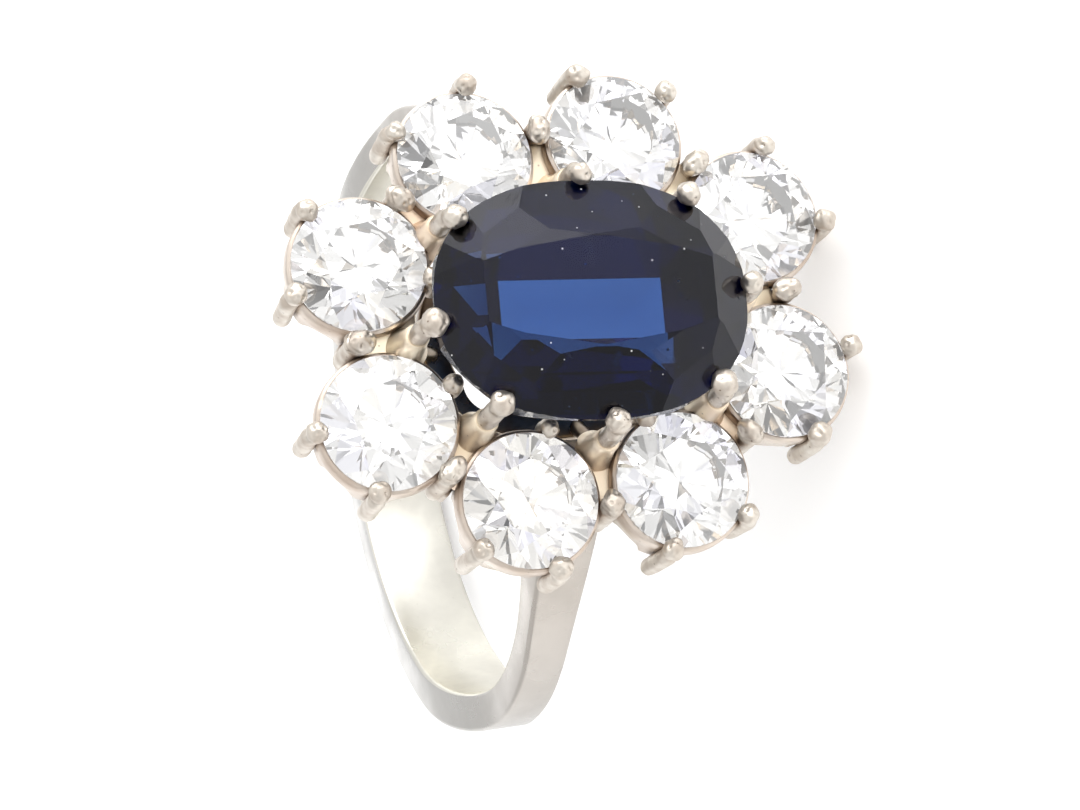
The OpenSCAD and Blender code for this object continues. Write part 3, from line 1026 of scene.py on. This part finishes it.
class RING_OT_band(RingOperator):
    """Build the band"""
    bl_idname = "ring.band"
    bl_label = "Band"

    # Painted light and shade from the setting to the base of the band: the outer side darker near the
    # setting and lighter at the base, the inner side light with painted dark reflection lines near the base.
    # Columns: share of the way, colour.
    outer_painted_light = ((0.1, (0.63, 0.585, 0.54)), (0.4, (0.66, 0.63, 0.60)), (0.6, (0.68, 0.67, 0.655)),
                   (0.95, (0.97, 0.97, 0.97)))
    inner_painted_light = ((0.3, (1, 0.985, 0.95)), (0.75, (1, 1, 0.99)), (0.86, (0.72, 0.72, 0.72)),
                   (0.92, (0.93, 0.93, 0.93)), (0.96, (0.7, 0.7, 0.7)))

    def execute(self, context):
        finish = finish_now()
        outer = gold_material("Satin gold", finish.satin, finish.satin_dull, patch=330, smooth=0.22,
                              rough=0.38, bump=0.08, specks=0.12, along=self.outer_painted_light)
        # The inner side gets the lighter gold: painted light on a polished finish
        inner = gold_material("Polished gold", finish.polished_lit, finish.polished_lit_dull, patch=330, smooth=0.24,
                              rough=0.38, specks=0.12, dirt_and_shade=0.3, along=self.inner_painted_light)
        piece("band", band_mesh(sizes_now()), hole_frame(), [outer, inner], "metal")
        return {"FINISHED"}


class RING_OT_setting(RingOperator):
    """Build the walls, the plate, the collars and the rail"""
    bl_idname = "ring.setting"
    bl_label = "Setting"

    def execute(self, context):
        size, finish = sizes_now(), finish_now()
        wall = gold_material("Wall gold", finish.wall, finish.wall_dull, patch=500, smooth=0.26, rough=0.42,
                             reach=0.8)
        plate = gold_material("Plate gold", finish.plate_cream, finish.plate_peach, patch=260, smooth=0.3,
                              rough=0.42, reach=0.2, dirt_and_shade=0.35, metallic=0.6)
        # The rail is painted dark: painted shade under the sapphire
        under = gold_material("Hidden gold", finish.painted_rail_shade, finish.grime_and_shade, patch=300, smooth=0.2, rough=0.4)
        for name, make, gold in (("walls", walls_mesh, wall), ("plate", plate_mesh, plate),
                                 ("collars", collars_mesh, plate), ("rail", rail_mesh, under)):
            piece(name, make(size), head_frame(size), [gold], "metal")
        return {"FINISHED"}


class RING_OT_claws(RingOperator):
    """Build the claws"""
    bl_idname = "ring.claws"
    bl_label = "Claws"

    def execute(self, context):
        size, finish = sizes_now(), finish_now()
        gold = gold_material("Claw gold", finish.bead, finish.bead_dull, patch=1500, smooth=0.34, rough=0.52,
                             bump=0.2, reach=0.4, dirt_and_shade=0.7, specks=0.8)
        for name, make in (("gem_claws", gem_claws_mesh), ("shared_claws", shared_claws_mesh),
                           ("sapphire_claws", sapphire_claws_mesh)):
            piece(name, make(size), head_frame(size), [gold], "metal", sharp=60)
        return {"FINISHED"}


class RING_OT_diamonds(RingOperator):
    """Cut the eight diamonds"""
    bl_idname = "ring.diamonds"
    bl_label = "Diamonds"

    # Each stone is turned in its seat by this much more than the one before it
    turn_step = 37

    def execute(self, context):
        size = sizes_now()
        clear = diamond_material()
        for number, (place, _) in enumerate(gem_places(size), 1):
            where = head_frame(size) @ gem_frame(size, place) @ at_angle(self.turn_step * number)
            piece("brilliant_%d" % number, brilliant_mesh(size), where, [clear],
                  "diamond_%d" % number, sharp=0)
        return {"FINISHED"}


class RING_OT_sapphire(RingOperator):
    """Cut the sapphire"""
    bl_idname = "ring.sapphire"
    bl_label = "Sapphire"

    def execute(self, context):
        size = sizes_now()
        where = head_frame(size) @ sapphire_frame(size)
        piece("oval_stone", sapphire_mesh(size), where, [sapphire_material()], "sapphire",
              sharp=0)
        return {"FINISHED"}


class RING_OT_stage(RingOperator):
    """Set the floor, the lights and the camera"""
    bl_idname = "ring.stage"
    bl_label = "Stage"

    # The camera's place, the point that it looks at and its upward direction, in the head frame
    camera_from = Vector((-46.67, -35.23, 148.96))
    camera_at = Vector((-1.26, -2.30, -0.89))
    camera_up = Vector((0.1254, 0.9603, 0.2491))
    # Focal length in pixels of an image of this width, and the width of the camera's sensor in millimetres
    focal = 5341.0
    image_w = 1080.0
    sensor_w = 36
    # Soft boxes. Columns: direction, the angles from it where the box ends and where it is whole, strength.
    boxes = (
        ((0.80, -0.47, 0.30), 42, 24, 2.6),
        ((0.206, -0.974, 0.10), 36, 16, 0.6),
    )
    # Least and greatest strength of the tent, which is brightest overhead, and the height where it is least
    tent_low = 0.75
    tent_high = 1.15
    tent_from = -0.2
    # Dark seams and the lens hole. Columns: direction, inner and outer angle from it, light that is left.
    seams = (
        ((-0.206, -0.754, 0.623), 0, 5.5, 0.5),
        ((0.0, -0.923, 0.386), 34, 37, 0.1),
        ((0.0, -0.923, 0.386), 57, 61, 0.25),
    )
    seam_edge = 1.5
    # Radius of the floor in metres, and the light that it gives off, which keeps it white up to the ring
    floor_r = 3
    floor_glow = 0.22

    def execute(self, context):
        scene = context.scene
        scene.view_settings.view_transform = "Standard"
        self.make_camera(scene, head_frame(sizes_now()))
        self.make_floor()
        self.make_lights(scene)
        return {"FINISHED"}

    def make_camera(self, scene, head):
        """A long lens at the viewing angle of the photograph."""
        data = bpy.data.cameras.new("Camera")
        data.sensor_fit = "HORIZONTAL"
        data.sensor_width = self.sensor_w
        data.lens = self.focal / self.image_w * data.sensor_width
        data.clip_start = 0.01
        data.clip_end = 20
        camera = bpy.data.objects.new("Camera", data)
        scene.collection.objects.link(camera)
        place = head @ self.camera_from
        back = (place - head @ self.camera_at).normalized()
        right = (head.to_3x3() @ self.camera_up).cross(back).normalized()
        up = back.cross(right)
        turn = Matrix((right, up, back)).transposed().to_4x4()
        camera.matrix_world = Matrix.Translation(place) @ turn
        scene.camera = camera

    def make_floor(self):
        """A pale floor under the ring."""
        bm = bmesh.new()
        bmesh.ops.create_circle(bm, cap_ends=True, segments=96, radius=self.floor_r)
        move(bm, Matrix.Translation((0, 0, CAD_BOX[0].z)))
        floor = to_object(bm, "floor")
        paint, tree, bsdf = new_material("Floor")
        tree.feed(bsdf, Base_Color=(*finish_now().floor, 1), Roughness=0.9, Emission_Color=(1, 1, 1, 1),
                  Emission_Strength=self.floor_glow)
        floor.data.materials.append(paint)

    def make_lights(self, scene):
        """A white light tent with two soft boxes, a lens hole and dark seams."""
        world = bpy.data.worlds.new("Studio")
        world.use_nodes = True
        scene.world = world
        tree = Tree(world.node_tree)
        view = tree.node("TexCoord").outputs["Generated"]
        light = glow(tree, view, (0, 0, 1), self.tent_from, 1, self.tent_low, self.tent_high)
        for way, inner, outer, dark in self.seams:
            seam = glow(tree, view, way, cos(outer), cos(outer - self.seam_edge), 1, dark)
            if inner:
                middle = glow(tree, view, way, cos(inner + self.seam_edge), cos(inner), 0, 1)
                seam = tree.of_two("MAXIMUM", seam, middle)
            light = tree.of_two("MULTIPLY", light, seam)
        for way, edge, whole, strength in self.boxes:
            light = tree.of_two("ADD", light, glow(tree, view, way, cos(edge), cos(whole), 0, strength))
        tree.feed(tree.nodes["Background"], Strength=light, Color=(1, 1, 1, 1))


def glow(tree, view, way, start, end, low, high):
    """Strength that goes from low to high as a direction nears one way, by the cosine between the two."""
    dot = tree.node("VectorMath")
    dot.operation = "DOT_PRODUCT"
    tree.link(view, dot.inputs[0])
    dot.inputs[1].default_value = Vector(way).normalized()
    fade = tree.node("MapRange", Value=dot.outputs["Value"], From_Min=start, From_Max=end, To_Min=low,
                     To_Max=high)
    fade.interpolation_type = "SMOOTHSTEP"
    return fade.outputs["Result"]


class RING_PT_panel(bpy.types.Panel):
    """Buttons that build the ring, and its sizes and colours"""
    bl_idname = "RING_PT_panel"
    bl_label = "Cluster ring"
    bl_space_type = "VIEW_3D"
    bl_region_type = "UI"
    bl_category = "Ring"

    def draw(self, context):
        for made in BUILDERS:
            self.layout.operator(made.bl_idname)
        for group in (context.scene.ring_sizes, context.scene.ring_finish):
            box = self.layout.box()
            for name in group.__annotations__:
                box.prop(group, name)


BUILDERS = (RING_OT_stage, RING_OT_band, RING_OT_setting, RING_OT_claws, RING_OT_diamonds, RING_OT_sapphire)
CLASSES = (RingSizes, RingFinish, *BUILDERS, RING_PT_panel)


def register():
    for made in CLASSES:
        bpy.utils.register_class(made)
    bpy.types.Scene.ring_sizes = bpy.props.PointerProperty(type=RingSizes)
    bpy.types.Scene.ring_finish = bpy.props.PointerProperty(type=RingFinish)


def unregister():
    del bpy.types.Scene.ring_finish
    del bpy.types.Scene.ring_sizes
    for made in reversed(CLASSES):
        bpy.utils.unregister_class(made)


def main():
    register()
    bpy.ops.ring.stage()
    bpy.ops.ring.band()
    bpy.ops.ring.setting()
    bpy.ops.ring.claws()
    bpy.ops.ring.diamonds()
    bpy.ops.ring.sapphire()
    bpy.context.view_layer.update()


if __name__ == "__main__":
    main()
